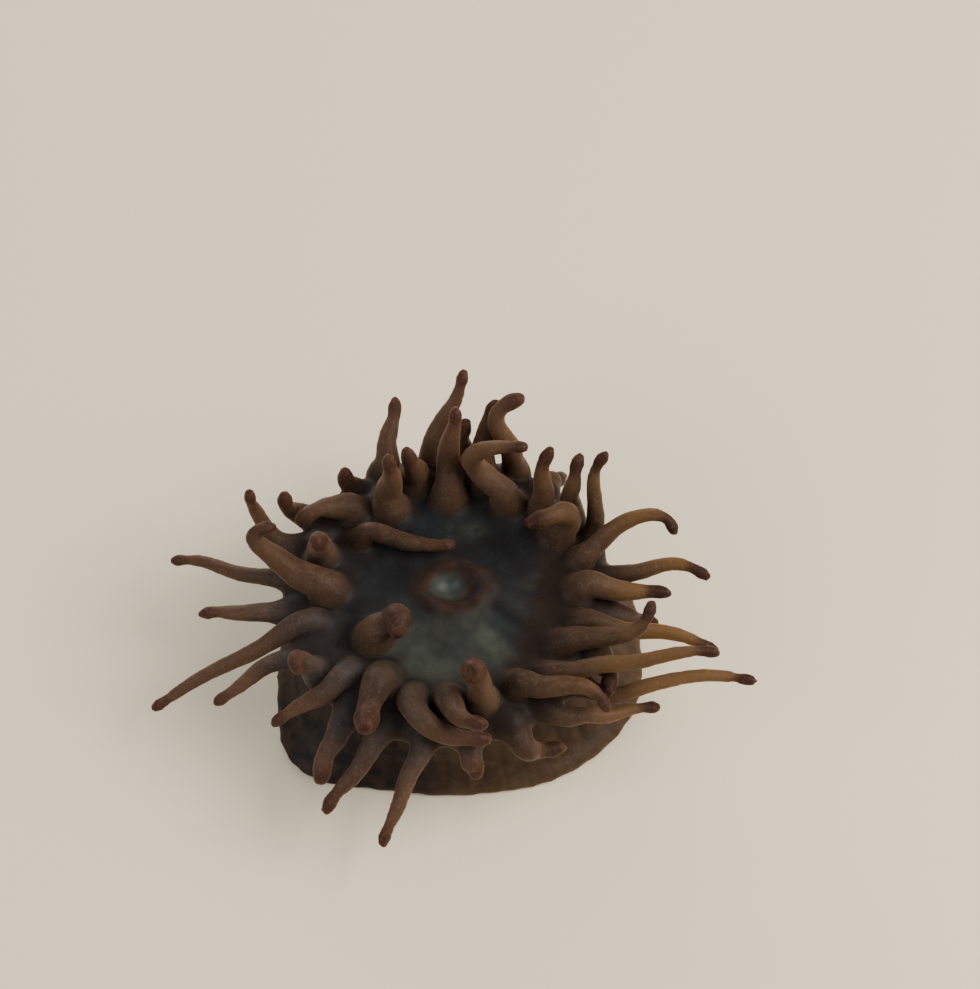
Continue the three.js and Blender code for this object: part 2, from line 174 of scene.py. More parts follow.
# How the tentacles press on each other and on the body.
GAP = 0.3  # between neighbouring solids
CLEAR = 0.5  # room they seek between them
ROUNDS = 50
FREE_FROM = 0.25  # the share of the length over which a tentacle becomes free to move
ROOTED = (2, 4)  # the body doesn't press on the first stretch, and then gradually does
TOP = {"height": 14, "flat": 11, "fall": 1.6, "over": 5, "bend": 1.6}  # a plain shape of the disc
WALL = {"low": 16.1, "flare": 0.6, "from": 8.5, "to": 10.8}  # a plain shape of the wall under it
RIM = 16.1  # where the wall ends, from the middle
RIM_HEIGHT = 11.9
REST = 0.95  # how high a tentacle lies on the body, in its own radii
LIFT_STEP = 0.4  # how far the body lifts a tentacle in one round, at most
MEND = 0.5  # the share of an overlap with the body or the ground that one round mends
SPRING = 0.3  # how far a link goes back to its own length in one round

# The fine form of a tentacle, over its even taper. The knob and the neck: how much thicker, how far from
# the tip and how long, in radii of the tip. Two ripples: how much, how close and how shifted by the slot.
KNOB = (0.17, 0.8, 0.9)
NECK = (-0.1, 3.0, 1.0)
ROUNDING = 0.1  # how much thinner the very end is
ROUNDING_FROM = 1.2  # and from how far before it, in radii of the tip
FLARE = 0.12  # how much the root flares
FLARE_RUN = 1.8  # and over what length
RIPPLES = [(0.018, 2.1, 1.7), (0.012, 4.7, 2.9)]
FINE_STEP = 0.12
TIP_DOME = 0.8  # length of the dome on the tip, in radii of the tip
DOME_RINGS = (0.35, 0.65, 0.88)  # rings on it, as shares of its length
TUBE_SIDES = 20
TUBE_STRIDE = 3  # the rough tube has a ring at every third point of the fine line
ROOT_INWARD = 1.8  # where the tube starts inside the body
ROOT_DOWN = 0.9
ROUGH_THINNER = 0.13  # so that tubes that lie close aren't taken for one

# The soft joins of the skin.
JOIN_WIDTH = 2.4  # between a tentacle and the disc
WEB_WIDTH = 1.2  # between one root and the next
WEB_RUN = 5.0  # how far out from the root they are webbed
FAR = 9.0  # a gap too wide for any web

# One row per tentacle, anticlockwise from +X: turn of the tip from the tentacle's own bearing, reach
# and height of the tip, the bearing (from its own) and pitch that the tip points in, and how long it
# keeps that direction.
POSE = [
    (-2, 22.4, 14, -12, -8, 0.35),
    (-6, 25.8, 15, -32, -30, 0.35),
    (-4, 23, 17.5, -85, -45, 0.45),
    (13, 19.3, 21, 10, 45, 0.45),
    (-3, 9.6, 19.5, 170, -5, 0.75),
    (4, 17.6, 20, 20, 45, 0.35),
    (4, 15.5, 21, 10, 45, 0.35),
    (2, 20, 9, -10, -25, 0.35),
    (-8, 12.2, 25, -75, 20, 0.9),
    (-2, 18.5, 23, -60, 15, 0.5),
    (0, 18.5, 20, -40, 50, 0.35),
    (0, 17.3, 18, -20, 45, 0.35),
    (-3, 14.7, 24, -10, 70, 0.35),
    (-12, 20.7, 22, -30, 55, 0.35),
    (4, 12.4, 20.2, 30, 65, 0.35),
    (-8, 21.9, 16, -30, 25, 0.35),
    (1, 11.4, 22.5, 10, 75, 0.35),
    (1.3, 16.8, 15, 0, 80, 0.4),
    (19, 16.6, 15, 50, -50, 0.5),
    (8, 18.9, 16.4, 0, 88, 0.65),
    (-71, 4.1, 15.6, -140, -5, 0.4),
    (1, 21.3, 19.2, 0, 88, 0.7),
    (7, 13, 20, 80, 55, 0.35),
    (-6, 28.8, 8, -10, -30, 0.35),
    (-10, 17.6, 20.5, -170, -15, 0.6),
    (-3, 24.7, 12, 0, -15, 0.35),
    (2, 31.5, 5, 10, -25, 0.35),
    (3, 25.5, 10, 8, -30, 0.35),
    (24, 8.3, 17.5, 48, -10, 0.56),
    (-1, 18.2, 16.5, 75, -25, 0.6),
    (-9, 22.6, 8, 0, -35, 0.35),
    (3.9, 22.5, 9, 20, -35, 0.35),
    (4.5, 18.8, 15.8, 30, 50, 0.4),
    (-6, 24.8, 8, -10, -30, 0.35),
    (32, 17.9, 13.8, 105, 5, 0.6),
    (-6.3, 26.2, 8, -8, -30, 0.35),
    (11, 18.2, 18.2, 60, 30, 0.45),
    (1, 18.9, 9.6, 0, -45, 0.35),
    (-4, 13.4, 20.5, -15, 58, 0.35),
    (14, 18.9, 8.7, 75, 25, 0.5),
    (19, 21, 13.5, 0, -50, 0.5),
    (25, 23.6, 9, 57, -20, 0.35),
    (27, 28.2, 16, 45, -20, 0.35),
    (20, 32, 12, 30, -15, 0.35),
    (18, 20.6, 18.2, 110, 20, 0.4),
    (-14, 19.8, 13, -67, -10, 0.4),
    (4, 27.8, 10, 0, -35, 0.4),
    (4, 20.7, 9, 0, -30, 0.35),
]
# The tentacles that stand out of line (out from the mouth, shift round it), whose roots lean or rise in
# their own way, or that are stouter or blunter than usual.
UNUSUAL = {
    2: {"lean": 12, "rise": 55},
    3: {"lean": 10, "rise": 45},
    4: {"lean": 0, "rise": 55, "girth": 1.2, "blunt": 1.2},
    8: {"lean": 55, "rise": 62, "girth": 1.25},
    9: {"girth": 1.3, "blunt": 1.35},
    10: {"girth": 1.2},
    11: {"girth": 1.12},
    12: {"girth": 1.3},
    13: {"girth": 1.25},
    14: {"girth": 1.25},
    15: {"girth": 1.15},
    16: {"girth": 1.15},
    17: {"rise": 35, "girth": 0.75},
    19: {"lean": 30, "rise": -5},
    20: {"out": 11.5, "shift": 3, "lean": -120, "rise": 14, "girth": 0.8},
    21: {"lean": 5, "rise": 0},
    22: {"girth": 1.1, "blunt": 1.2},
    24: {"lean": -14, "rise": 50, "girth": 1.35},
    28: {"out": 10.1, "shift": 8, "lean": 160, "rise": 66, "girth": 1.12, "blunt": 1.5},
    29: {"lean": 0, "rise": 45},
    30: {"lean": -3, "rise": 35},
    31: {"girth": 1.1, "blunt": 1.3},
    32: {"blunt": 1.5},
    33: {"girth": 1.1, "blunt": 1.1},
    34: {"lean": 0, "rise": 45, "girth": 1.2, "blunt": 1.2},
    35: {"girth": 1.1},
    36: {"lean": -30, "rise": 50},
    37: {"girth": 1.1, "blunt": 1.2},
    38: {"lean": 0, "rise": 60, "blunt": 1.7},
    39: {"girth": 1.15},
    40: {"lean": 10, "rise": 40},
    42: {"lean": 25, "rise": 30},
    44: {"lean": 20, "rise": 50},
}

COOL_AT = 222  # the bearing of the tentacles with cool grey roots
PAINTED_SUN_AT = -8  # and of those painted yellow with painted sunlight
SHADE_AT = math.radians(226)  # the bearing of the dark side of the wall
TONE_SEED = 7
# Tentacles darkened with painted shade, and how much.
DUSKY_SHADE = {
    3: 0.6, 4: 0.6, 7: 0.9, 17: 0.5, 19: 0.4, 20: 0.9, 28: 0.3, 32: 0.7,
    33: 0.4, 34: 0.3, 36: 0.6, 39: 0.4, 40: 0.7, 42: 0.3, 44: 0.9,
}
# Tentacles whose ends are redder than the rest, and how much.
RUDDY = {2: 0.4, 24: 1.0, 28: 1.0, 32: 0.4, 34: 0.4, 38: 0.6, 39: 0.5, 42: 0.4, 44: 0.4, 45: 0.4}


def direction(bearing, pitch):
    """A unit vector from a bearing, anticlockwise from +X, and a pitch above the horizontal."""
    b = math.radians(bearing)
    p = math.radians(pitch)
    return np.array([math.cos(b) * math.cos(p), math.sin(b) * math.cos(p), math.sin(p)])


def ring_of(slot):
    """The ring, 1 to 4, that a slot's tentacle stands in."""
    if slot % 8 == 0:
        return 1
    if slot % 8 == 4:
        return 2
    return 3 if slot % 4 == 2 else 4


def run_along(line):
    """How far along a line of points each of them lies."""
    return np.concatenate([[0], np.cumsum(np.linalg.norm(np.diff(line, axis=0), axis=1))])


def even_points(line, count):
    """A line of points in even steps instead, and how far along it each of them lies."""
    run = run_along(line)
    even = np.linspace(0, run[-1], count)
    return np.stack([np.interp(even, run, line[:, k]) for k in range(3)], 1), even


def sketch(slot):
    """A tentacle's wavering middle line in even steps, its radius at each, and its length."""
    out, up, thick, lift, usual_length = RINGS[ring_of(slot)]
    bearing = slot * 360 / SLOTS
    turn, reach, height, veer, pitch, hook = POSE[slot]
    lean = LEAN * max(-MOST_TURN, min(MOST_TURN, turn))
    own = {"out": out, "shift": 0, "lean": lean, "girth": 1, "blunt": 1} | UNUSUAL.get(slot, {})
    root = direction(bearing + own["shift"], 0) * own["out"] + np.array([0, 0, up])
    tip = direction(bearing + turn, 0) * reach + np.array([0, 0, height])
    span = np.linalg.norm(tip - root)
    slope = math.degrees(math.asin((height - up) / span))
    rise = own.get("rise", max(RISE[0], min(RISE[1], slope + lift)))
    leave = root + direction(bearing + own["lean"], rise) * span * HANDLE
    arrive = tip - direction(bearing + veer, pitch) * span * hook
    t = np.linspace(0, 1, CURVE_POINTS)[:, None]
    curve = (1 - t) ** 3 * root + 3 * (1 - t) ** 2 * t * leave + 3 * (1 - t) * t**2 * arrive + t**3 * tip
    line, run = even_points(curve, SAMPLES)
    along = np.linspace(0, 1, SAMPLES)
    swing = SWAY * np.sin(math.pi * along)
    line += np.outer(swing * np.sin(7 * along + 2.4 * slot), direction(bearing + turn + 90, 0))
    line[:, 2] += 0.5 * swing * np.sin(6 * along + 1.7 * slot)
    slim = min(SLIM[1], max(SLIM[0], math.sqrt(usual_length / run[-1])))
    end = TIP_RADIUS * max(1, slim) * own["blunt"]
    belly = thick * own["girth"] * (1 + (slim - 1) * np.clip(along / SLIM_FROM, 0, 1))
    radius = belly + (end - belly) * along**TAPER
    return line, radius, run[-1]


def top_at(away):
    """Height of the body's top at a distance from its middle."""
    return TOP["height"] - TOP["fall"] * (np.maximum(away - TOP["flat"], 0) / TOP["over"]) ** TOP["bend"]


def wall_at(height):
    """Distance of the body's wall from its middle at a height."""
    return WALL["low"] + WALL["flare"] * smoothstep(WALL["from"], WALL["to"], height)


def push_apart(points, reach, share, own):
    """How far each point is pressed by the tentacles that lie too near it."""
    squared = (points**2).sum(1)
    far = squared[:, None] + squared[None] - 2 * points @ points.T
    close = np.argwhere((far < reach**2) & ~own)
    a, b = close[:, 0], close[:, 1]
    apart = points[a] - points[b]
    distance = np.linalg.norm(apart, axis=1) + 1e-9
    amount = (reach[a, b] - distance).clip(0) * share[a, b] / distance
    push = np.zeros_like(points)
    np.add.at(push, a, apart * amount[:, None])
    touching = np.bincount(a, minlength=len(points))
    return push / np.sqrt(np.maximum(1, touching))[:, None]


def add_body_push(push, points, radius, free, rooted):
    """Add how far the ground, the top of the body and its wall press each point."""
    push[:, 2] += MEND * np.clip(radius + CLEAR - points[:, 2], 0, None) * (free > 0)
    away = np.hypot(points[:, 0], points[:, 1])
    sunk = top_at(away) + radius * REST + GAP - points[:, 2]
    lift = MEND * np.clip(sunk * rooted, 0, LIFT_STEP)
    push[:, 2] += np.where(away < RIM, lift, 0)
    beside = (away >= RIM) & (points[:, 2] < RIM_HEIGHT)
    inside = np.clip(wall_at(points[:, 2]) + radius + GAP - away, 0, None) * MEND * rooted * beside
    push[:, :2] += points[:, :2] / away[:, None] * inside[:, None]


def soften(push):
    """The same push spread along each tentacle, with none at its root."""
    for _ in range(3):
        softened = push.copy()
        softened[:, 1:-1] = 0.25 * push[:, :-2] + 0.5 * push[:, 1:-1] + 0.25 * push[:, 2:]
        softened[:, -1] = 0.5 * push[:, -1] + 0.5 * push[:, -2]
        softened[:, 0] = 0
        push = softened
    return push


def hold_length(points, steps):
    """Draw each link of the lines, from the root on, part of the way back to its own length."""
    for i in range(1, SAMPLES):
        link = points[:, i] - points[:, i - 1]
        length = np.linalg.norm(link, axis=1)
        wanted = (1 - SPRING) * length + SPRING * steps
        points[:, i] = points[:, i - 1] + link * (wanted / length)[:, None]


def settle(lines, radii, lengths):
    """Press the tentacles apart until none runs through another, the body or the ground."""
    count = len(lines)
    points = np.array(lines)
    radius = np.array(radii).reshape(-1)
    owner = np.repeat(np.arange(count), SAMPLES)
    own = owner[:, None] == owner[None]
    along = np.tile(np.linspace(0, 1, SAMPLES), count)
    free = np.clip(along / FREE_FROM, 0, 1)
    rooted = np.clip((along * np.repeat(lengths, SAMPLES) - ROOTED[0]) / ROOTED[1], 0, 1)
    reach = radius[:, None] + radius[None] + CLEAR
    share = free[:, None] / (free[:, None] + free[None] + 1e-6)
    steps = np.array(lengths) / (SAMPLES - 1)
    for _ in range(ROUNDS):
        flat = points.reshape(-1, 3)
        push = push_apart(flat, reach, share, own)
        add_body_push(push, flat, radius, free, rooted)
        points = points + soften(push.reshape(count, SAMPLES, 3))
        hold_length(points, steps)
    return points


def smooth_rows(rows, steps):
    """Rows of numbers carried on smoothly between the given ones, a Catmull-Rom spline in each column."""
    rows = np.array(rows, float)
    padded = np.vstack([2 * rows[0] - rows[1], rows, 2 * rows[-1] - rows[-2]])
    out = []
    for i in range(1, len(padded) - 2):
        p0, p1, p2, p3 = padded[i - 1 : i + 3]
        t = (np.arange(steps) / steps)[:, None]
        squared = (2 * p0 - 5 * p1 + 4 * p2 - p3) * t**2
        cubed = (3 * p1 - p0 - 3 * p2 + p3) * t**3
        out.append(0.5 * (2 * p1 + (p2 - p0) * t + squared + cubed))
    return np.vstack(out + [padded[-2][None]])


def smoothstep(low, high, x):
    """0 at low, 1 at high, and smooth between; low may be over high."""
    t = np.clip((x - low) / (high - low), 0, 1)
    return t * t * (3 - 2 * t)


# ---------------------------------------------------------------- meshes


def tube(line, radius, sides):
    """Rings of points round a line, with one frame carried along it so that the sides don't twist."""
    rings = []
    side = np.array([0.0, 0.0, 1.0])
    turn = np.linspace(0, 2 * math.pi, sides, endpoint=False)
    axes = np.gradient(line, axis=0)
    axes /= np.linalg.norm(axes, axis=1)[:, None]
    for centre, r, axis in zip(line, radius, axes):
        side = side - axis * side.dot(axis)
        side /= np.linalg.norm(side)
        other = np.cross(axis, side)
        rings.append(centre + r * (np.outer(np.cos(turn), side) + np.outer(np.sin(turn), other)))
    return rings


def lofted(rings, first, last, offset):
    """Points and faces of a closed surface over rings of points and a pole at each end."""
    count = len(rings)
    sides = len(rings[0])
    points = np.vstack([*rings, first[None], last[None]])
    faces = []
    for r in range(count - 1):
        for s in range(sides):
            t = (s + 1) % sides
            corners = (r * sides + s, r * sides + t, (r + 1) * sides + t, (r + 1) * sides + s)
            faces.append([offset + corner for corner in corners])
    start = offset + count * sides
    end = start + 1
    for s in range(sides):
        t = (s + 1) % sides
        faces.append([start, offset + t, offset + s])
        faces.append([end, offset + (count - 1) * sides + s, offset + (count - 1) * sides + t])
    return points, faces


def hump(x, height, middle, width):
    """A soft hump of a height, round a middle."""
    return height * np.exp(-(((x - middle) / width) ** 2))


class Tentacle:
    """One tentacle's fine middle line, radius and places along it."""

    def __init__(self, slot, line, radius):
        self.slot = slot
        fine = smooth_rows(line, SPLINE_STEPS)
        self.length = run_along(fine)[-1]
        self.line, self.run = even_points(fine, int(self.length / FINE_STEP) + 2)
        base = np.interp(self.run / self.length, np.linspace(0, 1, SAMPLES), radius)
        from_tip = self.length - self.run
        tip = radius[-1]
        knob = hump(from_tip / tip, *KNOB)
        neck = hump(from_tip / tip, *NECK)
        rounding = -ROUNDING * smoothstep(ROUNDING_FROM * tip, 0, from_tip)
        flare = FLARE * np.exp(-self.run / FLARE_RUN)
        ripple = sum(rise * np.sin(self.run * pace + slot * shift) for rise, pace, shift in RIPPLES)
        self.radius = base * (1 + knob + neck + rounding + ripple) + flare
        self.heading = self.line[-1] - self.line[-4]
        self.heading /= np.linalg.norm(self.heading)


def grow_tentacles():
    """All the tentacles, pressed apart."""
    sketches = [sketch(slot) for slot in range(SLOTS)]
    lines = settle(*zip(*sketches))
    return [Tentacle(slot, lines[slot], sketches[slot][1]) for slot in range(SLOTS)]


def body_rings():
    """The rings of the body, from under the foot round to the mouth, and the height of the mouth's floor."""
    outside = FOOT + COLUMN + COLLAR + DISC
    rows = smooth_rows(outside + LIPS, SPLINE_STEPS)
    lip_start = len(outside) * SPLINE_STEPS
    turn = np.linspace(0, 2 * math.pi, BODY_CORNERS, endpoint=False)
    side = np.maximum(0, np.cos(turn - SWELL_AT)) ** SWELL_FOCUS
    rings = []
    for i, (height, half_x, half_y, power, at_x, swell) in enumerate(rows[1:-1], 1):
        grown = 1 + swell / half_x * side
        x = half_x * grown * np.sign(np.cos(turn)) * np.abs(np.cos(turn)) ** (2 / power)
        y = half_y * grown * np.sign(np.sin(turn)) * np.abs(np.sin(turn)) ** (2 / power)
        at_y = MOUTH_AT[1] * smoothstep(lip_start - 2 * SPLINE_STEPS, lip_start, i)
        rings.append(np.stack([x + at_x, y + at_y, np.full_like(x, max(height, 0.0))], 1))
    return rings, rows[-1][0]


def unevenly(count, turn, wobble, times):
    """An angle that goes round a number of times, with a wobble, so that what repeats isn't quite even."""
    return count * turn + wobble * np.sin(times * turn)


def furrows(turn):
    """1 along the upright furrows of the wall, and 0 half way between them."""
    return np.abs(np.cos(unevenly(FURROWS, turn, 0.3, 4)))


def wall_relief(away, turn, z):
    """How far the uneven wall and the scalloped foot stand out from the plain body."""
    wall = smoothstep(7, 13, away) * smoothstep(13.2, 11.5, z)
    foot = smoothstep(2.6, 0.2, z) * smoothstep(12, 17, away)
    low = smoothstep(6.5, 1.5, z)
    uneven = sum(rise * np.sin(count * turn + start) for rise, count, start in UNEVEN)
    scallop = SCALLOP * np.cos(unevenly(SLOTS, turn, 1.2, 5))
    furrow = -FURROW * furrows(turn) ** 6
    fold = FOLD * np.sin(z * 5.2 + 1.3 * np.sin(3 * turn) + 0.8 * np.sin(7 * turn + 1))
    return wall * (uneven * (1 - z / 16) + furrow + fold * (0.35 + 0.65 * low)) + foot * scallop


def crown_relief(away, turn, z):
    """How high the disc stands over the plain body: hollows between the roots, rays and swellings."""
    crown = smoothstep(12.3, 12.9, z) * smoothstep(4.6, 6.5, away)
    outer = smoothstep(8.5, 12.5, away)
    between_roots = ROOT_DIP * outer * np.abs(np.sin(FURROWS * turn)) ** 1.5
    rays = RAY_DIP * (1 - outer) * np.abs(np.sin(FURROWS // 2 * turn)) ** 2
    broad = BROAD_SWELL * np.sin(2 * turn + 0.9) * smoothstep(15, 8, away)
    small = SMALL_SWELL * np.sin(5 * turn + 0.5 * away)
    return crown * (-between_roots - rays + (broad + small) * 0.8)


def lobes_at(x, y, spread, measure):
    """The lobes inside the mouth at each point: their rise or their paleness, which fade over their width."""
    total = 0
    for lobe in LOBES:
        squared = (x - lobe[0]) ** 2 + (y - lobe[1]) ** 2
        total = total + lobe[measure] * np.exp(-squared / (spread * lobe[2]) ** 2)
    return total


def shape_body(p):
    """Bend the plain body into the living one: uneven wall, furrows on the disc, folds on the lips."""
    x, y, z = p.T
    away = np.hypot(x, y) + 1e-9
    turn = np.arctan2(y, x)
    out = wall_relief(away, turn, z)
    mx, my = x - MOUTH_AT[0], y - MOUTH_AT[1]
    lip_turn = np.arctan2(my / LIP_OVAL[1], mx / LIP_OVAL[0])
    top = smoothstep(12.4, 13.6, z)
    lip = smoothstep(5.2, 3.8, np.hypot(mx, my * 1.35)) * top
    inside = smoothstep(2.6, 2.0, np.hypot(mx, my * 1.15)) * top
    fine_fold = FINE_LIP_FOLD * np.cos(27 * lip_turn + 1.0)
    lip_fold = LIP_FOLD * np.cos(unevenly(16, lip_turn, 0.6, 3)) + fine_fold
    q = p.copy()
    q[:, 0] += x / away * out + lip * lip_fold * 0.6 * np.cos(lip_turn)
    q[:, 1] += y / away * out + lip * lip_fold * 0.6 * np.sin(lip_turn)
    q[:, 2] += crown_relief(away, turn, z) + lip * (lip_fold * 0.7 + 0.18 * np.sin(2 * lip_turn + 0.4))
    q[:, 2] += inside * lobes_at(x, y, 1, LOBE_RISE)
    q[:, 2] = np.where(z < 0.02, 0, q[:, 2])
    return q


def remeshed(points, faces, voxel):
    """One even skin of quads round everything in a mesh, as arrays of points and faces."""
    mesh = bpy.data.meshes.new("skin_rough")
    mesh.from_pydata(points.tolist(), [], faces)
    rough = bpy.data.objects.new("skin_rough", mesh)
    bpy.context.scene.collection.objects.link(rough)
    remesh = rough.modifiers.new("voxels", "REMESH")
    remesh.mode = "VOXEL"
    remesh.voxel_size = voxel
    remesh.adaptivity = 0.0
    skin = rough.evaluated_get(bpy.context.evaluated_depsgraph_get()).to_mesh()
    co = np.zeros(len(skin.vertices) * 3, np.float64)
    skin.vertices.foreach_get("co", co)
    quads = np.zeros(len(skin.polygons) * 4, np.int64)
    if len(skin.loops) != len(quads):
        raise RuntimeError("the skin isn't all quads")
    skin.polygons.foreach_get("vertices", quads)
    rough.to_mesh_clear()
    bpy.data.objects.remove(rough)
    bpy.data.meshes.remove(mesh)
    return co.reshape(-1, 3), quads.reshape(-1, 4)


def edges_of(quads):
    """Each edge of a skin of quads once, as a pair of points."""
    pairs = np.vstack([quads[:, [i, (i + 1) % 4]] for i in range(4)])
    pairs.sort(axis=1)
    return np.unique(pairs, axis=0)


def relax(points, edges, weight, rounds):
    """Draw each point towards the mean of its neighbours, by its weight."""
    degree = np.bincount(edges.reshape(-1), minlength=len(points))[:, None]
    for _ in range(rounds):
        total = np.zeros_like(points)
        for axis in range(3):
            column = points[:, axis]
            total[:, axis] = np.bincount(edges[:, 0], column[edges[:, 1]], len(points))
            total[:, axis] += np.bincount(edges[:, 1], column[edges[:, 0]], len(points))
        points = points + (total / degree - points) * weight[:, None]
    return points


def normals_of(points, quads):
    """Outward unit normals of the points of a skin of quads."""
    a, b, c, d = (points[quads[:, i]] for i in range(4))
    flat = np.cross(c - a, d - b)
    total = np.zeros_like(points)
    for axis in range(3):
        for corner in range(4):
            total[:, axis] += np.bincount(quads[:, corner], flat[:, axis], len(points))
    return total / np.maximum(np.linalg.norm(total, axis=1), 1e-12)[:, None]


class Nearest:
    """For each point of the skin: the tentacle it is nearest to, and where along and round it."""

    def __init__(self, points, tentacles):
        starts = np.cumsum([0] + [len(t.line) for t in tentacles])
        lines = np.vstack([t.line for t in tentacles])
        radii = np.concatenate([t.radius for t in tentacles])
        runs = np.concatenate([t.run for t in tentacles])
        owners = np.concatenate([np.full(len(t.line), t.slot) for t in tentacles])
        tree = tree_of(lines)
        best = np.zeros(len(points), np.int64)
        for i, point in enumerate(points):
            found = tree.find_n(point, 3)
            best[i] = min(found, key=lambda f: f[2] - radii[f[1]])[1]
        first = starts[owners[best]]
        last = starts[owners[best] + 1] - 1
        self.owner = owners[best]
        self.centre = lines[best].copy()
        self.run = runs[best].copy()
        self.radius = radii[best].copy()
        self.distance = np.full(len(points), 1e9)
        for step in (-1, 0):
            a = np.clip(best + step, first, last - 1)
            link = lines[a + 1] - lines[a]
            t = np.clip(((points - lines[a]) * link).sum(1) / (link**2).sum(1), 0, 1)
            centre = lines[a] + link * t[:, None]
            distance = np.linalg.norm(points - centre, axis=1)
            nearer = distance < self.distance
            self.distance[nearer] = distance[nearer]
            self.centre[nearer] = centre[nearer]
            self.run[nearer] = (runs[a] + (runs[a + 1] - runs[a]) * t)[nearer]
            self.radius[nearer] = (radii[a] + (radii[a + 1] - radii[a]) * t)[nearer]
        self.outside = self.distance - self.radius
        ends = np.array([t.line[-1] for t in tentacles])[self.owner]
        headings = np.array([t.heading for t in tentacles])[self.owner]
        length = np.array([t.length for t in tentacles])[self.owner]
        end_radius = np.array([t.radius[-1] for t in tentacles])[self.owner]
        past = ((points - ends) * headings).sum(1).clip(0)
        at_end = length - self.run < 0.02
        beside = np.linalg.norm(points - ends - headings * past[:, None], axis=1)
        self.from_tip = length + self.radius * TIP_DOME - self.run - np.where(at_end, past, 0)
        self.off_pore = np.where(at_end, beside / end_radius, 1 + self.from_tip)


def tree_of(points):
    """A tree of points, for finding the nearest."""
    tree = KDTree(len(points))
    for i, point in enumerate(points):
        tree.insert(point, i)
    tree.balance()
    return tree


def next_neighbour(points, near, tentacles):
    """How far each point near the roots is from the second tentacle beside it."""
    stride, asked = 5, 18
    lines = np.vstack([t.line[::stride] for t in tentacles])
    radii = np.concatenate([t.radius[::stride] for t in tentacles])
    owners = np.concatenate([np.full(len(t.line[::stride]), t.slot) for t in tentacles])
    tree = tree_of(lines)
    gap = np.full(len(points), FAR)
    for i in np.flatnonzero((near.run < WEB_RUN) & (near.outside < 1.0)):
        for _, other, distance in tree.find_n(points[i], asked):
            if owners[other] != near.owner[i]:
                gap[i] = min(gap[i], distance - radii[other])
    return gap


def fillet(gap, width):
    """How far a smooth join of two surfaces stands out from where they cross, at a gap from the other."""
    return width / 4 * np.clip(1 - np.maximum(gap, 0) / np.maximum(width, 1e-6), 0, 1) ** 2


def rough_tube(t, offset):
    """Points and faces of a tentacle's tube, from inside the body to a domed tip."""
    inward = -t.line[0] * [1, 1, 0] / np.hypot(*t.line[0][:2])
    below = t.line[0] + inward * ROOT_INWARD - [0, 0, ROOT_DOWN]
    slim = t.radius - ROUGH_THINNER * smoothstep(2.0, 4.0, t.run)
    line = np.vstack([below[None], t.line[::TUBE_STRIDE], t.line[-1][None]])
    radius = np.concatenate([[slim[0]], slim[::TUBE_STRIDE], [slim[-1]]])
    dome = t.heading * t.radius[-1] * TIP_DOME
    for share in DOME_RINGS:
        line = np.vstack([line, t.line[-1] + dome * share])
        radius = np.append(radius, slim[-1] * math.sqrt(1 - share**2))
    return lofted(tube(line, radius, TUBE_SIDES), below, t.line[-1] + dome, offset)


def build_skin(voxel):
    """The skin's points and quads, what is nearest to each point, and its marks for flesh and for the painted
    shade in its nooks.
    """
    tentacles = grow_tentacles()
    rings, mouth_floor = body_rings()
    start = np.array([0.0, 0.0, 0.0])
    end = np.array([*MOUTH_AT, mouth_floor])
    body, faces = lofted(rings, start, end, 0)
    body = shape_body(body)
    body_tree = BVHTree.FromPolygons(body.tolist(), faces)
    points = [body]
    for t in tentacles:
        tube_points, tube_faces = rough_tube(t, sum(map(len, points)))
        points.append(tube_points)
        faces = faces + tube_faces
    skin, quads = remeshed(np.vstack(points), faces, voxel)
    edges = edges_of(quads)
    skin = relax(skin, edges, np.full(len(skin), 0.5), 3)

    # the cells leave the tubes rough: bring their points back to the true radius
    near = Nearest(skin, tentacles)
    on_tube = smoothstep(0.45, 0.25, near.outside)
    clear_of_body = np.array([clearance(body_tree, point) for point in skin])
    snap = on_tube * smoothstep(0.0, 0.5, clear_of_body) * smoothstep(0.2, 1.6, near.run)
    away = (skin - near.centre) / np.maximum(near.distance, 1e-6)[:, None]
    skin = skin + (near.centre + away * near.radius[:, None] - skin) * snap[:, None]

    # smooth joins: the tentacles with the disc, and each with the next
    gap = np.maximum(near.outside, clear_of_body)
    join = fillet(gap, JOIN_WIDTH) * smoothstep(10.5, 11.8, skin[:, 2])
    web_width = WEB_WIDTH * smoothstep(WEB_RUN, 1.0, near.run)
    web = fillet(next_neighbour(skin, near, tentacles), web_width)
    skin = skin + normals_of(skin, quads) * (join + web)[:, None]
    joined = np.clip((join + web) * 6, 0, 1)
    skin = relax(skin, edges, 0.25 + 0.35 * joined, 5)
    skin = relax(skin, edges, np.full(len(skin), 0.3), 1)
    skin[:, 2] = np.where(skin[:, 2] < 0.12, 0.0, skin[:, 2])
    # painted shade: darker where a tentacle joins the disc or its neighbour, where shade falls in the fold
    nook_shade = np.clip(join / 0.5 + web / 0.3, 0, 1)
    flesh = on_tube * smoothstep(0.3, 2.8, near.run)
    return skin, quads, near, flesh, nook_shade


def clearance(tree, point):
    """Distance of a point from a closed surface, less than 0 inside."""
    place, normal, _, distance = tree.find_nearest(point)
    return distance if (Vector(point) - place).dot(normal) >= 0 else -distance


# ---------------------------------------------------------------- shader helpers


class Socket:
    """A shader value that can be used in Python sums; each sum adds its Math node."""

    def __init__(self, nodes, out):
        self.nodes = nodes
        self.out = out

    def _sum(self, operation, a, b):
        return self.nodes.add("ShaderNodeMath", {"operation": operation}, {0: a, 1: b})

    def __add__(self, other):
        return self._sum("ADD", self, other)

    __radd__ = __add__

    def __sub__(self, other):
        return self._sum("SUBTRACT", self, other)

    def __rsub__(self, other):
        return self._sum("SUBTRACT", other, self)

    def __mul__(self, other):
        return self._sum("MULTIPLY", self, other)

    __rmul__ = __mul__


